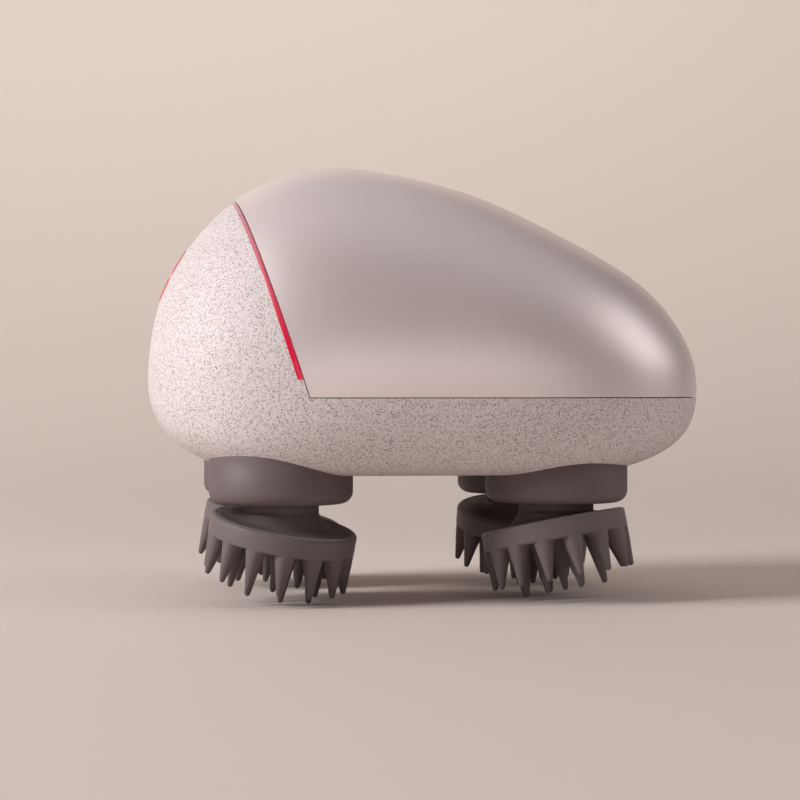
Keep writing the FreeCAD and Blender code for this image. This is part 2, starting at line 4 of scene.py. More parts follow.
import bmesh
import bpy
import numpy as np
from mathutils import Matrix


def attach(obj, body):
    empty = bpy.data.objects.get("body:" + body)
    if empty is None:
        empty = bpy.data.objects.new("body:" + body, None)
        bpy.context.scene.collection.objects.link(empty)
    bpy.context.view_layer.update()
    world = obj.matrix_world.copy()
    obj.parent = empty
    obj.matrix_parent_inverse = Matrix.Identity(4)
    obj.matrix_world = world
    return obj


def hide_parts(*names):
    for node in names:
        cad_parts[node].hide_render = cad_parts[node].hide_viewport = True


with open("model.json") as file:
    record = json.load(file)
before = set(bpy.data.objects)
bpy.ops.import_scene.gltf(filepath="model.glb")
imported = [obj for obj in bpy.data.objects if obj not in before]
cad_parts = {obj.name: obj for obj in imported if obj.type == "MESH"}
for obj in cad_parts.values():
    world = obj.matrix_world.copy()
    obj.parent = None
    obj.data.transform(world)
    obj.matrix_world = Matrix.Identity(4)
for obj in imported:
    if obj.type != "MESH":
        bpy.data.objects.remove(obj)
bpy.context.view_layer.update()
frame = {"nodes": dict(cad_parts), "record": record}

MM = 0.001

# ---------------------------------------------------------------------------
# Camera, floor and light: a long lens at the height of the seam, and a sweep of
# pale paper. A small soft key stands on the tail's side and a large soft light
# overhead. Two cards light the near flank and the nose, and one the paper.
view_distance = 0.4515
view_turn = math.radians(-7.0)
view_height = 0.0458
view_pitch = math.radians(0.34)
view_side = 0.0046

lens = bpy.data.cameras.new("camera")
lens.lens = 90
lens.sensor_width = 36
camera = bpy.data.objects.new("camera", lens)
across = np.array([math.cos(view_turn), math.sin(view_turn), 0])
back = np.array([math.sin(view_turn), -math.cos(view_turn), 0])
camera.location = back * view_distance - across * view_side + np.array([0, 0, view_height])
camera.rotation_euler = (math.pi / 2 - view_pitch, 0, view_turn)
bpy.context.scene.collection.objects.link(camera)
bpy.context.scene.camera = camera


def surface_object(name, points, faces):
    """A smooth mesh object at the origin from an array of points and an array of quads.

    Points that coincide are merged, which closes seams and turns quads at a pole into triangles.
    """
    mesh = bpy.data.meshes.new(name)
    mesh.from_pydata(points.tolist(), [], faces.tolist())
    shell = bmesh.new()
    shell.from_mesh(mesh)
    bmesh.ops.remove_doubles(shell, verts=shell.verts, dist=2e-6)
    bmesh.ops.dissolve_degenerate(shell, dist=1e-6, edges=shell.edges)
    shell.to_mesh(mesh)
    shell.free()
    mesh.polygons.foreach_set("use_smooth", np.ones(len(mesh.polygons), dtype=bool))
    piece = bpy.data.objects.new(name, mesh)
    bpy.context.scene.collection.objects.link(piece)
    return piece


def grid_faces(rows, columns, start=0):
    """Quads of a rows x columns grid of points: each joins a point to its right and upper neighbours."""
    index = np.arange(rows * columns).reshape(rows, columns) + start
    quads = [index[:-1, :-1], index[:-1, 1:], index[1:, 1:], index[1:, :-1]]
    return np.stack(quads, axis=-1).reshape(-1, 4)


sweep_bend = np.radians(np.linspace(0, 90, 25))
sweep_run = np.concatenate([[-1.5, 0.0], 0.5 + 1.3 * np.sin(sweep_bend), [1.8]])
sweep_rise = np.concatenate([[0.0, 0.0], 1.1 * (1 - np.cos(sweep_bend)), [3.0]])
sweep_x = np.array([-3.0, 0.0, 3.0])
sweep_points = np.stack(
    np.broadcast_arrays(sweep_x[:, None], sweep_run[None, :], sweep_rise[None, :]), axis=-1)
sweep = surface_object("paper_sweep", sweep_points.reshape(-1, 3), grid_faces(3, len(sweep_run))[:, ::-1])
paper = bpy.data.materials.new("paper")
paper.use_nodes = True
paper_shader = paper.node_tree.nodes["Principled BSDF"]
paper_shader.inputs["Base Color"].default_value = (0.76, 0.66, 0.60, 1)
paper_shader.inputs["Roughness"].default_value = 0.85
sweep.data.materials.append(paper)


def soft_light(name, place, aim, width, height, power, colour):
    """A rectangular light at place that shines towards aim."""
    lamp = bpy.data.lights.new(name, "AREA")
    lamp.shape = "RECTANGLE"
    lamp.size = width
    lamp.size_y = height
    lamp.energy = power
    lamp.color = colour
    holder = bpy.data.objects.new(name, lamp)
    direction = np.array(aim) - np.array(place)
    level = math.hypot(direction[0], direction[1])
    holder.location = place
    holder.rotation_euler = (math.atan2(level, -direction[2]), 0, math.atan2(-direction[0], direction[1]))
    bpy.context.scene.collection.objects.link(holder)


soft_light("key", (-1.1, -0.24, 0.56), (0, 0, 0.05), 0.45, 0.45, 14.5, (1.0, 0.99, 0.99))
soft_light("overhead", (0.1, 0.15, 1.4), (0, 0, 0.05), 2.8, 1.8, 4.4, (1.0, 0.99, 1.0))
soft_light("low_card", (0.06, -1.2, 0.15), (0, 0, 0.05), 1.2, 0.30, 1.3, (1.0, 0.93, 0.92))
soft_light("nose_card", (1.25, -0.22, 0.66), (0, 0, 0.05), 0.8, 0.8, 3.7, (1.0, 0.98, 0.98))
soft_light("backdrop_light", (0.0, 0.9, 1.3), (0, 1.9, 0.75), 2.6, 0.5, 13.0, (1.0, 0.95, 0.93))
world = bpy.data.worlds.new("room")
world.use_nodes = True
world.node_tree.nodes["Background"].inputs["Color"].default_value = (0.84, 0.76, 0.73, 1)
world.node_tree.nodes["Background"].inputs["Strength"].default_value = 0.09
bpy.context.scene.world = world
bpy.context.scene.view_settings.view_transform = "Standard"

# ---------------------------------------------------------------------------
# Lower shell: one ABS moulding that is the band below the cover and the whole
# tail. The plastic is pale pink with dark grey flecks mixed in, and the face
# is spark-eroded matt. The collars are fixed under its floor.

# Level outlines, millimetres: height, tail x, nose x, half width, and the
# exponent of the rounded outline.
LEVELS = np.array([
    (27.7, -20.0, 20.0, 16.0, 3.8),
    (27.7, -39.5, 39.5, 32.0, 3.8),
    (29.3, -46.4, 46.0, 36.2, 3.7),
    (32.2, -52.6, 52.9, 39.6, 3.4),
    (36.9, -57.7, 58.3, 42.2, 3.1),
    (43.8, -60.7, 60.8, 43.5, 2.8),
    (52.0, -60.8, 60.2, 43.6, 2.7),
    (60.0, -59.7, 56.5, 42.4, 2.6),
    (68.0, -57.2, 49.6, 39.8, 2.5),
    (76.0, -52.6, 37.5, 35.8, 2.4),
    (83.0, -46.8, 24.2, 30.2, 2.3),
    (88.5, -40.2, 11.8, 23.6, 2.2),
    (92.4, -32.5, -2.4, 15.6, 2.1),
    (94.45, -24.6, -13.0, 6.1, 2.0),
])
base_z, seam_z, crown_z = 27.7 * MM, 43.8 * MM, 94.8 * MM
wall = 2.2 * MM
seam_gap = 0.2 * MM
seam_corner_x = -28.2 * MM
seam_top = (-42.1 * MM, 87.1 * MM)
seam_lean = math.atan2(seam_top[0] - seam_corner_x, seam_top[1] - seam_z)


def level_rows():
    """Each level as height, centre, half length, half width and exponent, with a pole at both ends.

    Past the crown's pole the rows return with negative sizes, so that a curve through
    them crosses the pole level.
    """
    height, tail, nose, half_width, power = LEVELS.T
    sizes = np.stack([height, (tail + nose) / 2, (nose - tail) / 2, half_width], axis=1) * MM
    rows = np.column_stack([sizes, power])
    mirrored = rows[-1:-4:-1] * (1, 1, -1, -1, 1)
    floor = [(base_z, 0, 0, 0, 3.8)]
    crown = [(crown_z, -18.8 * MM, 0, 0, 2.0)]
    return np.concatenate([floor, rows, crown, mirrored])


def bending(knots, values):
    """Second derivatives at the knots of the natural cubic curve through the values."""
    gap = np.diff(knots)
    system = np.eye(len(knots))
    inner = np.arange(1, len(knots) - 1)
    system[inner, inner - 1] = gap[:-1]
    system[inner, inner] = 2 * (gap[:-1] + gap[1:])
    system[inner, inner + 1] = gap[1:]
    slope = np.diff(values, axis=0) / gap[:, None]
    right = np.zeros_like(values)
    right[1:-1] = 6 * np.diff(slope, axis=0)
    return np.linalg.solve(system, right)


ROWS = level_rows()
KNOTS = np.concatenate([[0], np.cumsum(np.hypot(np.diff(ROWS[:, 0]), np.diff(ROWS[:, 2])))])
BENDING = bending(KNOTS, ROWS)
POLE = KNOTS[len(LEVELS) + 1]


def level_at(t):
    """Height, centre, half length, half width and exponent at any t, from the cubic between its knots."""
    t = np.asarray(t, dtype=float)
    k = np.clip(np.searchsorted(KNOTS, t, side="right") - 1, 0, len(KNOTS) - 2)
    gap = (KNOTS[k + 1] - KNOTS[k])[..., None]
    after = (t[..., None] - KNOTS[k][..., None]) / gap
    before = 1 - after
    curve = ((before ** 3 - before) * BENDING[k] + (after ** 3 - after) * BENDING[k + 1]) * gap ** 2 / 6
    return np.moveaxis(before * ROWS[k] + after * ROWS[k + 1] + curve, -1, 0)


DENSE_T = np.linspace(KNOTS[2] * 0.9, POLE, 4000)
DENSE_Z = np.maximum.accumulate(level_at(DENSE_T)[0])


def t_at_height(z):
    return np.interp(z, DENSE_Z, DENSE_T)


def skin(t, turn):
    """Point of the housing's skin: the outline |x/a|^p + |y/b|^p = 1 of level t, at angle turn."""
    t, turn = np.broadcast_arrays(t, turn)
    height, centre, half_length, half_width, power = level_at(t)
    cosine, sine = np.cos(turn), np.sin(turn)
    away = (np.abs(cosine) ** power + np.abs(sine) ** power) ** (-1 / power)
    return np.stack([centre + half_length * away * cosine, half_width * away * sine, height], axis=-1)


def seam_turn(t, shift):
    """Angle on level t at which the skin meets the slanted seam's plane, moved ahead by shift.

    x falls all the way from turn 0 to pi, so halving the interval finds it. It is pi where
    the plane passes behind the tail.
    """
    low, high = np.zeros_like(t), np.full_like(t, math.pi)
    plane_x = seam_corner_x + (level_at(t)[0] - seam_z) * math.tan(seam_lean) + shift / math.cos(seam_lean)
    for _ in range(40):
        middle = (low + high) / 2
        ahead = skin(t, middle)[..., 0] > plane_x
        low, high = np.where(ahead, middle, low), np.where(ahead, high, middle)
    return middle


def seam_summit(shift):
    """Height at which that plane leaves the tail's silhouette."""
    tail_x = skin(DENSE_T, np.full_like(DENSE_T, math.pi))[:, 0]
    plane_x = seam_corner_x + (DENSE_Z - seam_z) * math.tan(seam_lean) + shift / math.cos(seam_lean)
    above = DENSE_Z > 70 * MM
    return DENSE_Z[above][np.argmax(tail_x[above] > plane_x[above])]


def rising_heights(foot, summit, count):
    """Heights that crowd towards the summit by a square law, where the seam turns over the crown."""
    share = np.linspace(0, 1, count)
    return summit - (summit - foot) * (1 - share) ** 2


def give_wall(piece, edge=0.25 * MM):
    """A wall of even thickness inside the skin, with its rims rounded."""
    thick = piece.modifiers.new("wall", "SOLIDIFY")
    thick.thickness = wall
    thick.offset = -1
    thick.use_even_offset = False
    rim = piece.modifiers.new("rim", "BEVEL")
    rim.width = edge
    rim.segments = 3
    rim.limit_method = "ANGLE"
    rim.angle_limit = math.radians(50)
    rim.harden_normals = True


shell_shift = -seam_gap / 2
shell_foot = seam_z - seam_gap / 2
shell_summit = seam_summit(shell_shift)
corner_turn = float(seam_turn(t_at_height(np.array([shell_foot])), shell_shift)[0])
tail_rows, tail_columns = 84, 145
tail_share = np.linspace(-1, 1, tail_columns)
tail_turns = math.pi + tail_share * (math.pi - corner_turn)
nose_turns = np.linspace(-corner_turn, corner_turn, 181)
band_t = np.concatenate([np.linspace(0, KNOTS[1], 8)[:-1],
                         np.linspace(KNOTS[1], t_at_height(shell_foot), 44)])
band_turns = np.concatenate([nose_turns, tail_turns[1:]])
band = skin(band_t[:, None], band_turns[None, :])
tail_t = t_at_height(rising_heights(shell_foot, shell_summit, tail_rows))
tail_reach = math.pi - seam_turn(tail_t, shell_shift)
tail = skin(tail_t[:, None], math.pi + tail_share[None, :] * tail_reach[:, None])
tail_faces = grid_faces(tail_rows, tail_columns, start=band.shape[0] * band.shape[1])
button_place = np.array([-55.5, 0, 70.7]) * MM
button_rise = math.radians(28)
button_out = np.array([-math.cos(button_rise), 0, math.sin(button_rise)])


def far_from_button(points, radius):
    """True for points further than radius from the button's axis, or not on the tail."""
    offset = points - button_place
    along = offset @ button_out
    aside = np.linalg.norm(offset - along[..., None] * button_out, axis=-1)
    return (aside > radius) | (points[..., 0] > -40 * MM)


shell_points = np.concatenate([band.reshape(-1, 3), tail.reshape(-1, 3)])
shell_faces = np.concatenate([grid_faces(*band.shape[:2]), tail_faces])
button_hole = 5.75 * MM
shell_faces = shell_faces[far_from_button(shell_points[shell_faces].mean(axis=1), button_hole)]
lower_shell = surface_object("speckled_lower_shell", shell_points, shell_faces)
give_wall(lower_shell)


def new_material(name, roughness, metallic=0.0, coat=0.0, coat_roughness=0.1, ior=1.5):
    """A material whose even values sit on the shader itself. Returns it, its tree and the shader."""
    material = bpy.data.materials.new(name)
    material.use_nodes = True
    shader = material.node_tree.nodes["Principled BSDF"]
    shader.inputs["Roughness"].default_value = roughness
    shader.inputs["Metallic"].default_value = metallic
    shader.inputs["Coat Weight"].default_value = coat
    shader.inputs["Coat Roughness"].default_value = coat_roughness
    shader.inputs["IOR"].default_value = ior
    return material, material.node_tree, shader


def node(tree, kind, **settings):
    made = tree.nodes.new(kind)
    for key, value in settings.items():
        setattr(made, key, value)
    return made


def mask_group(name, inputs, outputs):
    """An empty shader node group with those float inputs, a Vector input and those float outputs."""
    group = bpy.data.node_groups.new(name, "ShaderNodeTree")
    group.interface.new_socket("Vector", in_out="INPUT", socket_type="NodeSocketVector")
    for key, value in inputs.items():
        socket = group.interface.new_socket(key, in_out="INPUT", socket_type="NodeSocketFloat")
        socket.default_value = value
    for key in outputs:
        group.interface.new_socket(key, in_out="OUTPUT", socket_type="NodeSocketFloat")
    return group, node(group, "NodeGroupInput"), node(group, "NodeGroupOutput")


def moulding_grain():
    """Shared effect: fine grain height for a bump, and slow clouds for colour and roughness."""
    group, given, result = mask_group(
        "moulding grain", {"Grain": 3000.0, "Clouds": 60.0}, ["Height", "Cloud"])
    fine = node(group, "ShaderNodeTexNoise")
    fine.inputs["Detail"].default_value = 3
    slow = node(group, "ShaderNodeTexNoise")
    slow.inputs["Detail"].default_value = 4
    for texture, key in ((fine, "Grain"), (slow, "Clouds")):
        group.links.new(given.outputs["Vector"], texture.inputs["Vector"])
        group.links.new(given.outputs[key], texture.inputs["Scale"])
    group.links.new(fine.outputs["Fac"], result.inputs["Height"])
    group.links.new(slow.outputs["Fac"], result.inputs["Cloud"])
    return group


GRAIN = moulding_grain()


def add_grain(tree, shader, roughness, swing, grain=3000.0, clouds=60.0, depth=0.02 * MM):
    """Bump from the grain, and roughness that drifts with the clouds. Returns the group node."""
    place = node(tree, "ShaderNodeTexCoord")
    effect = node(tree, "ShaderNodeGroup", node_tree=GRAIN)
    effect.inputs["Grain"].default_value = grain
    effect.inputs["Clouds"].default_value = clouds
    tree.links.new(place.outputs["Object"], effect.inputs["Vector"])
    bump = node(tree, "ShaderNodeBump")
    bump.inputs["Distance"].default_value = depth
    bump.inputs["Strength"].default_value = 0.6
    tree.links.new(effect.outputs["Height"], bump.inputs["Height"])
    tree.links.new(bump.outputs["Normal"], shader.inputs["Normal"])
    drift = node(tree, "ShaderNodeMapRange")
    drift.inputs["From Min"].default_value = 0.3
    drift.inputs["From Max"].default_value = 0.7
    drift.inputs["To Min"].default_value = roughness - swing
    drift.inputs["To Max"].default_value = roughness + swing
    tree.links.new(effect.outputs["Cloud"], drift.inputs["Value"])
    tree.links.new(drift.outputs["Result"], shader.inputs["Roughness"])
    return effect, place


def blend_colours(tree, factor, first, second):
    """A colour mix by a factor socket. first and second are colours or sockets. Returns the result socket."""
    mix = node(tree, "ShaderNodeMix", data_type="RGBA")
    tree.links.new(factor, mix.inputs["Factor"])
    for socket, colour in ((mix.inputs[6], first), (mix.inputs[7], second)):
        if hasattr(colour, "is_linked"):
            tree.links.new(colour, socket)
        else:
            socket.default_value = (*colour, 1)
    return mix.outputs[2]


def fleck_mask():
    """Shared effect: irregular flecks, where the nearest cell's random size beats its distance."""
    group, given, result = mask_group("flecks", {"Cells": 1500.0, "Largest": 0.5, "Share": 0.5}, ["Mask"])
    warp = node(group, "ShaderNodeTexNoise")
    warp.inputs["Scale"].default_value = 4000
    shift = node(group, "ShaderNodeVectorMath", operation="MULTIPLY_ADD")
    shift.inputs[1].default_value = (0.0001, 0.0001, 0.0001)
    cells = node(group, "ShaderNodeTexVoronoi", feature="F1")
    group.links.new(given.outputs["Vector"], warp.inputs["Vector"])
    group.links.new(warp.outputs["Color"], shift.inputs[0])
    group.links.new(given.outputs["Vector"], shift.inputs[2])
    group.links.new(shift.outputs["Vector"], cells.inputs["Vector"])
    group.links.new(given.outputs["Cells"], cells.inputs["Scale"])
    split = node(group, "ShaderNodeSeparateColor")
    group.links.new(cells.outputs["Color"], split.inputs["Color"])
    chance = node(group, "ShaderNodeMath", operation="LESS_THAN")
    group.links.new(split.outputs["Red"], chance.inputs[0])
    group.links.new(given.outputs["Share"], chance.inputs[1])
    reach = node(group, "ShaderNodeMath", operation="MULTIPLY")
    group.links.new(split.outputs["Green"], reach.inputs[0])
    group.links.new(given.outputs["Largest"], reach.inputs[1])
    edge = node(group, "ShaderNodeMath", operation="SUBTRACT")
    group.links.new(reach.outputs["Value"], edge.inputs[0])
    group.links.new(cells.outputs["Distance"], edge.inputs[1])
    soft = node(group, "ShaderNodeMapRange")
    soft.inputs["From Min"].default_value = 0.0
    soft.inputs["From Max"].default_value = 0.12
    group.links.new(edge.outputs["Value"], soft.inputs["Value"])
    both = node(group, "ShaderNodeMath", operation="MULTIPLY")
    group.links.new(soft.outputs["Result"], both.inputs[0])
    group.links.new(chance.outputs["Value"], both.inputs[1])
    group.links.new(both.outputs["Value"], result.inputs["Mask"])
    return group


FLECKS = fleck_mask()


def speckled_plastic(name, base, fleck, tint):
    """Pale plastic with large dark flecks, smaller paler ones, fine dust and a slow change of tint."""
    material, tree, shader = new_material(name, 0.55)
    effect, place = add_grain(tree, shader, 0.56, 0.05, grain=2600, clouds=40, depth=0.03 * MM)
    colour = blend_colours(tree, effect.outputs["Cloud"], base, tint)
    layers = [(2500, 0.52, 0.70, fleck), (3400, 0.55, 0.85, [c * 1.3 for c in fleck])]
    for cells, largest, share, shade in layers:
        mask = node(tree, "ShaderNodeGroup", node_tree=FLECKS)
        mask.inputs["Cells"].default_value = cells
        mask.inputs["Largest"].default_value = largest
        mask.inputs["Share"].default_value = share
        tree.links.new(place.outputs["Object"], mask.inputs["Vector"])
        colour = blend_colours(tree, mask.outputs["Mask"], colour, shade)
    dust = node(tree, "ShaderNodeMapRange")
    dust.inputs["From Min"].default_value = 0.52
    dust.inputs["From Max"].default_value = 0.66
    dust.inputs["To Max"].default_value = 0.55
    tree.links.new(effect.outputs["Height"], dust.inputs["Value"])
    colour = blend_colours(tree, dust.outputs["Result"], colour, fleck)
    tree.links.new(colour, shader.inputs["Base Color"])
    return material


lower_shell.data.materials.append(speckled_plastic(
    "speckled shell plastic",
    base=(0.78, 0.695, 0.69), fleck=(0.29, 0.235, 0.24), tint=(0.82, 0.735, 0.73)))
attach(lower_shell, "housing")
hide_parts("lower_shell")

# ---------------------------------------------------------------------------
# Top cover: a second moulding over the crown and the nose, sprayed with a warm
# pearl lacquer and clear coated. It clips to the shell along a hairline seam.
cover_shift = seam_gap / 2
cover_foot = seam_z + seam_gap / 2
cover_summit = seam_summit(cover_shift)
cover_share = np.linspace(-1, 1, 241)
seam_rows = 90
cover_t = np.concatenate([t_at_height(rising_heights(cover_foot, cover_summit, seam_rows)),
                          np.linspace(t_at_height(cover_summit), POLE, 34)[1:]])
cover_reach = seam_turn(cover_t, cover_shift)
cover_reach[seam_rows - 1:] = math.pi
cover = skin(cover_t[:, None], cover_share[None, :] * cover_reach[:, None])
top_cover = surface_object("pearl_top_cover", cover.reshape(-1, 3), grid_faces(*cover.shape[:2]))
give_wall(top_cover)


def pearl_lacquer(name):
    """Rose-silver lacquer: half metallic flake under a clear coat, with a fine shimmer in tint."""
    material, tree, shader = new_material(name, 0.40, metallic=0.5, coat=0.2, coat_roughness=0.3)
    effect, _ = add_grain(tree, shader, 0.40, 0.02, grain=5200, clouds=18, depth=0.002 * MM)
    colour = blend_colours(tree, effect.outputs["Cloud"], (0.90, 0.785, 0.775), (0.94, 0.825, 0.815))
    shimmer = blend_colours(tree, effect.outputs["Height"], (0.84, 0.725, 0.715), colour)
    tree.links.new(shimmer, shader.inputs["Base Color"])
    return material


top_cover.data.materials.append(pearl_lacquer("pearl lacquer"))
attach(top_cover, "housing")
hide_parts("top_cover")

# ---------------------------------------------------------------------------
# Light guide: a clear red hoop pressed into a groove on the tail side of the
# slanted seam. It runs up one flank, over the crown and down the other.
guide_width = 1.1 * MM
guide_top_width = 0.75 * MM
guide_start = 3.9 * MM
guide_proud = 0.08 * MM
guide_clearance = 0.02 * MM
red_until, pale_from = 52 * MM, 88 * MM


def outward_normal(t, turn):
    """Unit normal of the skin, from the cross product of its two small steps."""
    step = 1e-4
    along_turn = skin(t, turn + step) - skin(t, turn - step)
    along_t = skin(t + step * 0.01, turn) - skin(t - step * 0.01, turn)
    normal = np.cross(along_turn, along_t)
    return normal / np.maximum(np.linalg.norm(normal, axis=-1, keepdims=True), 1e-12)


def guide_surface():
    """A strip laid on the skin: across it runs a rounded section, along it the seam's own line.

    It narrows evenly from its foot to its summit over the crown.
    """
    section = [(0.0, -0.5), (0.0, 0.4), (0.12, 0.85), (0.5, 1.0), (0.88, 0.85), (1.0, 0.4), (1.0, -0.5)]
    foot = seam_z + guide_start * math.cos(seam_lean)
    edge = -seam_gap / 2 - guide_clearance
    columns = []
    for share, rise in section:
        summit = seam_summit(edge - share * guide_top_width)
        height = rising_heights(foot, summit - 1e-7, 120)
        width = guide_width + (guide_top_width - guide_width) * (height - foot) / (summit - foot)
        t = t_at_height(height)
        turn = seam_turn(t, edge - share * width)
        lift = rise * guide_proud
        near = skin(t, -turn) + outward_normal(t, -turn) * lift
        far = skin(t, turn) + outward_normal(t, turn) * lift
        columns.append(np.concatenate([near, far[::-1]]))
    return np.stack(columns, axis=1)


guide_points = guide_surface()
light_guide = surface_object("light_guide_hoop", guide_points.reshape(-1, 3),
                             grid_faces(*guide_points.shape[:2]))


def red_guide(name):
    """Clear red acrylic, lit from its lower ends: deep crimson there, paler towards the crown."""
    material, tree, shader = new_material(name, 0.25, coat=0.4, coat_roughness=0.05)
    effect, place = add_grain(tree, shader, 0.25, 0.04, grain=1500, clouds=120, depth=0.004 * MM)
    height = node(tree, "ShaderNodeSeparateXYZ")
    tree.links.new(place.outputs["Object"], height.inputs["Vector"])
    fade = node(tree, "ShaderNodeMapRange", interpolation_type="SMOOTHSTEP")
    fade.inputs["From Min"].default_value = red_until
    fade.inputs["From Max"].default_value = pale_from
    tree.links.new(height.outputs["Z"], fade.inputs["Value"])
    colour = blend_colours(tree, fade.outputs["Result"], (0.74, 0.002, 0.045), (0.58, 0.24, 0.29))
    tree.links.new(colour, shader.inputs["Base Color"])
    glow = blend_colours(tree, fade.outputs["Result"], (0.85, 0.0, 0.04), (0.10, 0.02, 0.03))
    tree.links.new(glow, shader.inputs["Emission Color"])
    shader.inputs["Emission Strength"].default_value = 0.15
    return material


guide_material = red_guide("red light guide")
light_guide.data.materials.append(guide_material)
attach(light_guide, "housing")
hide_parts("light_guide")

# ---------------------------------------------------------------------------
# Power button: a round key in a thin red ring on the tail. The ring is pressed
# into the shell and follows its curve; the key sits just below it and is dished.
ring_inside, ring_outside, ring_foot = 5.15 * MM, 6.4 * MM, -3 * MM
button_radius = 5.0 * MM
button_side = np.array([0.0, 1.0, 0.0])
button_top = np.cross(button_out, button_side)


def skin_depth(points):
    """Below 0 inside the housing: how far a point's own outline is from its level's outline."""
    height, centre, half_length, half_width, power = level_at(t_at_height(points[..., 2]))
    along = np.abs((points[..., 0] - centre) / half_length)
    aside = np.abs(points[..., 1] / half_width)
    return (along ** power + aside ** power) ** (1 / power) - 1


def button_surface(profile, count=96):
    """A round profile of (radius, rise above the skin) about the button's axis, draped on the skin."""
    radius = np.array([r for r, _ in profile])[:, None]
    rise = np.array([h for _, h in profile])[:, None]
    turn = np.linspace(0, 2 * math.pi, count + 1)[None, :]
    sideways = (radius * np.cos(turn))[..., None] * button_side
    upwards = (radius * np.sin(turn))[..., None] * button_top
    flat = button_place + sideways + upwards
    low, high = np.full(flat.shape[:2], -4 * MM), np.full(flat.shape[:2], 3 * MM)
    for _ in range(40):
        middle = (low + high) / 2
        outside = skin_depth(flat + middle[..., None] * button_out) > 0
        low, high = np.where(outside, low, middle), np.where(outside, middle, high)
    return flat + (middle + rise)[..., None] * button_out


ring_profile = [(ring_inside, ring_foot), (ring_inside, 0.1 * MM), (ring_inside + 0.08 * MM, 0.24 * MM),
                (ring_inside + 0.3 * MM, 0.3 * MM), (ring_outside - 0.3 * MM, 0.3 * MM),
                (ring_outside - 0.08 * MM, 0.2 * MM), (ring_outside, 0.0), (ring_outside, ring_foot),
                (ring_inside, ring_foot)]
ring = button_surface(ring_profile)
button_ring = surface_object("red_button_ring", ring.reshape(-1, 3), grid_faces(*ring.shape[:2]))
button_ring.data.materials.append(guide_material)
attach(button_ring, "housing")
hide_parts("button_ring")

dish = [(button_radius * share, (-0.35 + 0.3 * share ** 2) * MM) for share in np.linspace(0, 0.92, 12)]
key_foot, stem_foot, stem_radius = -2.4 * MM, -5.2 * MM, 1.6 * MM
key_profile = dish + [(button_radius * 0.97, -0.1 * MM), (button_radius, -0.32 * MM),
                      (button_radius, key_foot), (stem_radius, key_foot), (stem_radius, stem_foot),
                      (0.0, stem_foot)]
key = button_surface(key_profile)
power_button = surface_object("power_button_key", key.reshape(-1, 3), grid_faces(*key.shape[:2]))


def satin_plastic(name, base, tint, roughness, depth=0.012 * MM, grain=3200, clouds=90, **finish):
    """Moulded plastic or rubber: grain, slow roughness drift and two close tints."""
    material, tree, shader = new_material(name, roughness, **finish)
    effect, _ = add_grain(tree, shader, roughness, 0.05, grain=grain, clouds=clouds, depth=depth)
    tree.links.new(blend_colours(tree, effect.outputs["Cloud"], base, tint), shader.inputs["Base Color"])
    return material


power_button.data.materials.append(
    satin_plastic("button satin", (0.50, 0.42, 0.41), (0.56, 0.47, 0.46), 0.42))
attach(power_button, "power_button")
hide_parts("power_button")

# ---------------------------------------------------------------------------
# Charging contacts: a black holder let into the underside with two gilt pins.
# The pins are turned with domed ends and stand a little proud.
contact_x = 12.0 * MM
holder_radius = 4.0 * MM
holder_straight = 5.0 * MM
pin_spread = 4.5 * MM


def stadium_plate():
    """Rings of a long round-ended outline, drawn in and lowered by a rounded edge, closed in the middle."""
    turn = np.linspace(0, 2 * math.pi, 97)[None, :]
    inset = np.array([0.0, 0.0, 0.04, 0.15, 0.3, 1.0])[:, None]
    drop = np.array([-1.2, -0.1, 0.0, 0.06, 0.08, 0.08])[:, None] * MM
    radius = holder_radius * (1 - inset)
    stretch = holder_straight * np.sign(np.sin(turn)) * np.minimum(1, np.abs(np.sin(turn)) * 40)
    x = contact_x + radius * np.cos(turn)
    y = radius * np.sin(turn) + stretch * np.ones_like(radius)
    return np.stack([x, y, np.broadcast_to(base_z - drop, x.shape)], axis=-1)


plate = stadium_plate()
contact_holder = surface_object("contact_holder_plate", plate.reshape(-1, 3),
                                grid_faces(*plate.shape[:2])[:, ::-1])
contact_holder.data.materials.append(
    satin_plastic("holder nylon", (0.02, 0.02, 0.022), (0.03, 0.03, 0.032), 0.5))
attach(contact_holder, "housing")
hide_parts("contact_holder")


def turned_surface(profile, place=(0, 0, 0), count=48):
    """A profile of (radius, height) carried once round an upright axis through place."""
    profile = np.array(profile)
    turn = np.linspace(0, 2 * math.pi, count + 1)[None, :]
    radius, height = profile[:, :1], profile[:, 1:]
    x, y = radius * np.cos(turn), radius * np.sin(turn)
    return np.stack([x, y, np.broadcast_to(height, x.shape)], axis=-1) + np.array(place)


def metal(name, base, tint, roughness, grain=2500, clouds=200):
    """Bare or plated metal: two close tints and a roughness that drifts."""
    material, tree, shader = new_material(name, roughness, metallic=1.0)
    effect, _ = add_grain(tree, shader, roughness, 0.07, grain=grain, clouds=clouds, depth=0.003 * MM)
    tree.links.new(blend_colours(tree, effect.outputs["Cloud"], base, tint), shader.inputs["Base Color"])
    return material


pin_profile = [(0, -0.24), (0.6, -0.22), (1.0, -0.15), (1.16, 0.0), (1.2, 0.2), (1.2, 6.5), (0, 6.5)]
pin_sets = [turned_surface(np.array(pin_profile) * MM, (contact_x, side * pin_spread, base_z))
            for side in (-1, 1)]
pin_count = pin_sets[0].shape[0] * pin_sets[0].shape[1]
charging_pins = surface_object(
    "charging_pin_pair", np.concatenate([p.reshape(-1, 3) for p in pin_sets]),
    np.concatenate([grid_faces(*pin_sets[0].shape[:2], start=i * pin_count) for i in range(2)]))
charging_pins.data.materials.append(metal("gilt", (0.83, 0.62, 0.25), (0.88, 0.68, 0.32), 0.25))
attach(charging_pins, "housing")
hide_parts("charging_pins")

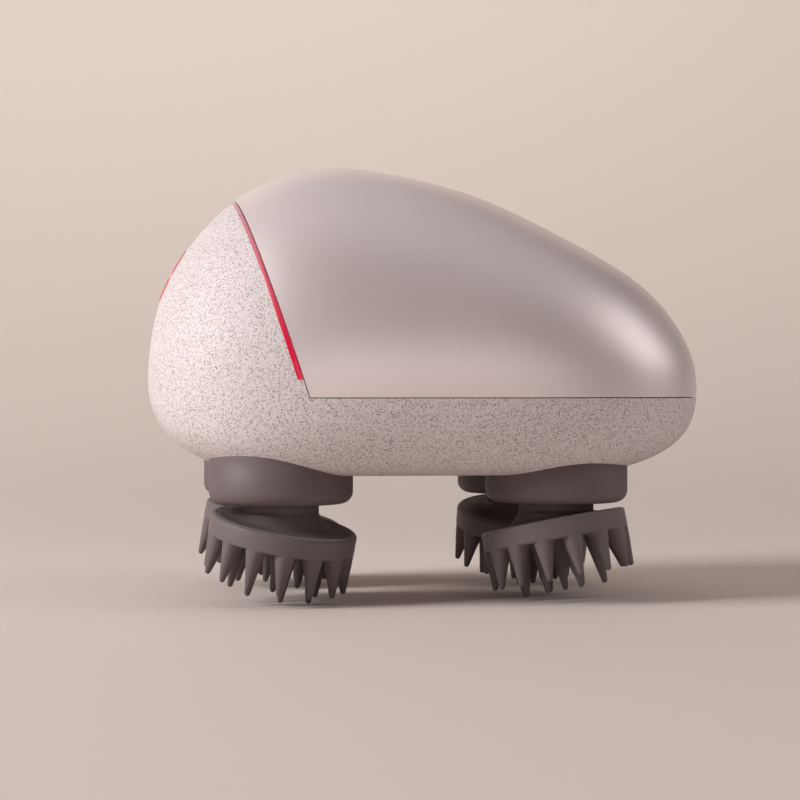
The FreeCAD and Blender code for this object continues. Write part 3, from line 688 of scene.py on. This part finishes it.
# ---------------------------------------------------------------------------
# Collars: four round caps moulded in taupe plastic, fixed under the shell. Each
# meets the shell's curve all round, and holds the spindle's seal in its bore.
CORNERS = {"front_left": (-1, -1, -38.0), "front_right": (1, -1, 145.0),
           "rear_right": (1, 1, -80.0), "rear_left": (-1, 1, -20.0)}
pattern_x = -2.8 * MM
spindle_y = 20.0 * MM
spindle_x = math.sqrt(36.0 ** 2 - 20.0 ** 2) * MM
collar_radius = 15.4 * MM
collar_foot = 21.2 * MM
collar_edge = 2.6 * MM
collar_mouth = 8.8 * MM
collar_bore = 5.2 * MM
seal_seat = 24.0 * MM
collar_reach = 34.0 * MM
edge_turns = np.linspace(0, math.pi / 2, 12)
collar_profile = np.array(
    [(collar_bore, collar_reach), (collar_bore, seal_seat), (collar_mouth, seal_seat),
     (collar_mouth, collar_foot + 0.4 * MM), (collar_mouth + 0.12 * MM, collar_foot + 0.12 * MM),
     (collar_mouth + 0.4 * MM, collar_foot)]
    + [(collar_radius - collar_edge * (1 - math.sin(a)), collar_foot + collar_edge * (1 - math.cos(a)))
       for a in edge_turns]
    + [(collar_radius, collar_reach - 1.5 * MM), (collar_bore, collar_reach)])
collar_plastic = satin_plastic("collar plastic", (0.130, 0.098, 0.098), (0.150, 0.114, 0.114), 0.62)
for corner, (along, aside, low_side) in CORNERS.items():
    spindle_axis = (pattern_x + along * spindle_x, aside * spindle_y, 0)
    points = turned_surface(collar_profile, spindle_axis, count=128)
    collar = surface_object("round_collar_" + corner, points.reshape(-1, 3), grid_faces(*points.shape[:2]))
    collar.data.materials.append(collar_plastic)
    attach(collar, "housing")
    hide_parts("collar_" + corner)

# ---------------------------------------------------------------------------
# Head carriers: a stiff disc tilted on the spindle that flares up like a shallow
# trumpet into an upright neck. The neck turns inside the collar's mouth.
head_tilt = math.radians(12)
finger_plane = 12.87 * MM
rim_radius = 15.8 * MM
rim_depth = 4.3 * MM
disc_radius, disc_foot, disc_top = 14.4 * MM, 1.9 * MM, 4.25 * MM
flare_rise = 2.6 * MM
neck_radius, neck_foot = 8.1 * MM, 19.0 * MM


def tilted(points, corner):
    """Carry points from a head's own frame to its place: tilted, turned to its low side, moved."""
    along, aside, low_side = CORNERS[corner]
    cosine, sine = math.cos(head_tilt), math.sin(head_tilt)
    x = points[..., 0] * cosine + points[..., 2] * sine
    z = points[..., 2] * cosine - points[..., 0] * sine
    turn = math.radians(low_side)
    place = np.array([pattern_x + along * spindle_x, aside * spindle_y, finger_plane])
    level_x = x * math.cos(turn) - points[..., 1] * math.sin(turn)
    level_y = x * math.sin(turn) + points[..., 1] * math.cos(turn)
    return np.stack([level_x, level_y, z], axis=-1) + place


def carrier_surface(corner):
    """Rings that leave the disc's edge in the tilted frame and end as the neck's rings in the upright one.

    The radius falls along a hollow curve, and the share of the upright frame grows smoothly.
    """
    share = np.linspace(0, 1, 30)
    radius = neck_radius + (disc_radius - neck_radius) * (1 - share) ** 2.1
    height = disc_top + flare_rise * share ** 2.6
    rim = np.array([(0.0, disc_foot), (disc_radius - 0.2 * MM, disc_foot),
                    (disc_radius - 0.05 * MM, disc_foot + 0.4 * MM)])
    profile = np.concatenate([rim, np.stack([radius, height], axis=1)])
    leaning = tilted(turned_surface(profile, count=96), corner)
    along, aside, low_side = CORNERS[corner]
    turn = np.linspace(0, 2 * math.pi, 97)[None, :] + math.radians(low_side)
    level = np.array([pattern_x + along * spindle_x, aside * spindle_y, neck_foot])
    ring = np.stack([neck_radius * np.cos(turn), neck_radius * np.sin(turn), np.zeros_like(turn)], axis=-1)
    upright = ring + level
    mix = np.clip((share - 0.45) / 0.55, 0, 1)
    mix = np.concatenate([np.zeros(3), mix * mix * (3 - 2 * mix)])[:, None, None]
    blended = leaning * (1 - mix) + upright * mix
    rise = np.array([1.0, 3.6, 3.9, 4.0, 4.0])[:, None, None] * MM * np.array([0, 0, 1])
    pull = np.array([1.0, 1.0, 0.97, 0.92, 0.0])[:, None, None]
    cap = ring * pull + level + rise
    return np.concatenate([blended, cap])


carrier_plastic = satin_plastic("carrier plastic", (0.130, 0.098, 0.098), (0.150, 0.114, 0.114), 0.62)
for corner in CORNERS:
    points = carrier_surface(corner)
    carrier = surface_object("flared_carrier_" + corner, points.reshape(-1, 3),
                             grid_faces(*points.shape[:2]))
    carrier.data.materials.append(carrier_plastic)
    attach(carrier, "head_" + corner)
    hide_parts("head_carrier_" + corner)

# ---------------------------------------------------------------------------
# Finger pads: liquid silicone moulded over the carrier's edge. A rounded band,
# an outer ring of fingers flush with it, an inner ring of longer ones and one
# in the middle, each with a small fillet at its root and a rounded tip.
FINGER_RINGS = [(14, 13.65, 9.0, 8.9), (8, 8.6, 4.0, 11.4), (1, 0.0, 0.0, 11.4)]
finger_root, finger_tip = 2.1 * MM, 0.62 * MM


def band_surface():
    """The dished disc: floor, rounded lower edge, band, rounded top edge and inner lip."""
    def corner_arc(radius, height, size, start):
        turn = np.linspace(start, start + math.pi / 2, 7)
        return [(radius + size * math.cos(a), height + size * math.sin(a)) for a in turn]
    low = corner_arc(rim_radius - 0.45 * MM, 0.45 * MM, 0.45 * MM, -math.pi / 2)
    top = corner_arc(rim_radius - 0.7 * MM, rim_depth - 0.7 * MM, 0.7 * MM, 0)
    profile = [(0.0, 0.0), (7 * MM, 0.0), (12 * MM, 0.0)] + low + top
    lip, pad_floor = 14.36 * MM, 1.7 * MM
    profile += [(lip + 0.14 * MM, rim_depth), (lip, rim_depth - 0.15 * MM),
                (lip, pad_floor), (0.0, pad_floor)]
    return turned_surface(profile, count=128)


def finger_surface(ring, splay, length, turn):
    """One finger: a cone with a filleted root and a round tip, leaning out by splay, held inside the band."""
    fillet = np.array([(1.34, 0.02), (1.16, 0.10), (1.05, 0.26), (1.0, 0.5)])
    root = np.stack([fillet[:, 0] * finger_root, fillet[:, 1] * 2 * MM], axis=1)
    tip_turns = np.linspace(0.12, math.pi / 2, 7)
    tip_height = length - finger_tip * (1 - np.sin(tip_turns))
    round_tip = np.stack([finger_tip * np.cos(tip_turns), tip_height], axis=1)
    share = np.linspace(0.12, 0.92, 7)[:, None]
    shaft = root[-1] * (1 - share) + round_tip[0] * share
    start = np.array([(0.0, -0.5 * MM), (1.34 * finger_root, -0.5 * MM)])
    local = turned_surface(np.concatenate([start, root, shaft, round_tip]), count=28)
    lean = math.radians(splay)
    down = -local[..., 2]
    out = local[..., 0] * math.cos(lean) - down * math.sin(lean) + ring
    level = local[..., 0] * math.sin(lean) + down * math.cos(lean)
    x = out * math.cos(turn) - local[..., 1] * math.sin(turn)
    y = out * math.sin(turn) + local[..., 1] * math.cos(turn)
    away = np.maximum(np.hypot(x, y), 1e-9)
    held = np.minimum(1, (rim_radius - 0.02 * MM) / away)
    return np.stack([x * held, y * held, level + 0.3 * MM], axis=-1)


def pad_mesh(corner):
    """All of a pad's surfaces joined into one set of points and faces."""
    surfaces = [band_surface()]
    for count, ring, splay, length in FINGER_RINGS:
        turns = 2 * math.pi * np.arange(count) / count
        surfaces += [finger_surface(ring * MM, splay, length * MM, turn) for turn in turns]
    starts = np.cumsum([0] + [s.shape[0] * s.shape[1] for s in surfaces])
    points = np.concatenate([tilted(s, corner).reshape(-1, 3) for s in surfaces])
    band_faces = grid_faces(*surfaces[0].shape[:2])
    finger_faces = [grid_faces(*finger.shape[:2], start=start)[:, ::-1]
                    for finger, start in zip(surfaces[1:], starts[1:])]
    return points, np.concatenate([band_faces] + finger_faces)


def finger_silicone(name):
    """Taupe silicone with a soft sheen, and painted shade that darkens it down the fingers towards their
    tips.
    """
    material, tree, shader = new_material(name, 0.6)
    effect, place = add_grain(tree, shader, 0.6, 0.05, grain=2800, clouds=140, depth=0.01 * MM)
    body = blend_colours(tree, effect.outputs["Cloud"], (0.140, 0.108, 0.108), (0.160, 0.125, 0.125))
    height = node(tree, "ShaderNodeSeparateXYZ")
    tree.links.new(place.outputs["Object"], height.inputs["Vector"])
    # Painted shade: the colour goes darker towards the bottom, the finger tips, over the lowest 12 mm.
    painted_tip_shade = node(tree, "ShaderNodeMapRange")
    painted_tip_shade.inputs["From Min"].default_value = 0.0
    painted_tip_shade.inputs["From Max"].default_value = 0.012
    tree.links.new(height.outputs["Z"], painted_tip_shade.inputs["Value"])
    tip_shaded_colour = blend_colours(tree, painted_tip_shade.outputs["Result"], (0.085, 0.064, 0.064), body)
    tree.links.new(tip_shaded_colour, shader.inputs["Base Color"])
    shader.inputs["Sheen Weight"].default_value = 0.15
    shader.inputs["Sheen Roughness"].default_value = 0.4
    return material


silicone = finger_silicone("finger silicone")
for corner in CORNERS:
    pad = surface_object("soft_finger_pad_" + corner, *pad_mesh(corner))
    pad.data.materials.append(silicone)
    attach(pad, "head_" + corner)
    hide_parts("finger_pad_" + corner)

# ---------------------------------------------------------------------------
# Works inside the housing: bronze bushes and steel spindles, acetal gears, a
# brass pinion, the gearmotor, the cell and its boards. They keep their own
# shapes and take the finish of what they are made of.
INNER_FINISHES = {
    "seal_rubber": satin_plastic("seal rubber", (0.012, 0.012, 0.012), (0.022, 0.022, 0.022), 0.6),
    "gear_plastic": satin_plastic("gear acetal", (0.76, 0.74, 0.68), (0.82, 0.80, 0.75), 0.4),
    "inner_plastic": satin_plastic("inner nylon", (0.02, 0.02, 0.022), (0.035, 0.035, 0.038), 0.55),
    "board": satin_plastic("board mask", (0.01, 0.11, 0.045), (0.015, 0.14, 0.06), 0.3,
                           clouds=400, coat=0.4),
    "battery_wrap": satin_plastic("cell wrap", (0.03, 0.10, 0.34), (0.04, 0.13, 0.40), 0.28, coat=0.3),
    "bush_bronze": metal("bush bronze", (0.50, 0.31, 0.13), (0.58, 0.38, 0.18), 0.42, grain=4000),
    "pinion_brass": metal("pinion brass", (0.70, 0.51, 0.22), (0.77, 0.59, 0.29), 0.3),
    "bright_steel": metal("ground steel", (0.56, 0.56, 0.57), (0.64, 0.64, 0.65), 0.27),
    "motor_can": metal("zinc plate", (0.48, 0.48, 0.49), (0.57, 0.58, 0.60), 0.38, clouds=120),
}
slots = {part["node"]: part["material_slot"] for part in frame["record"]["subparts"]}
for name, part in frame["nodes"].items():
    finish = INNER_FINISHES.get(slots[name])
    if finish:
        part.data.materials.clear()
        part.data.materials.append(finish)
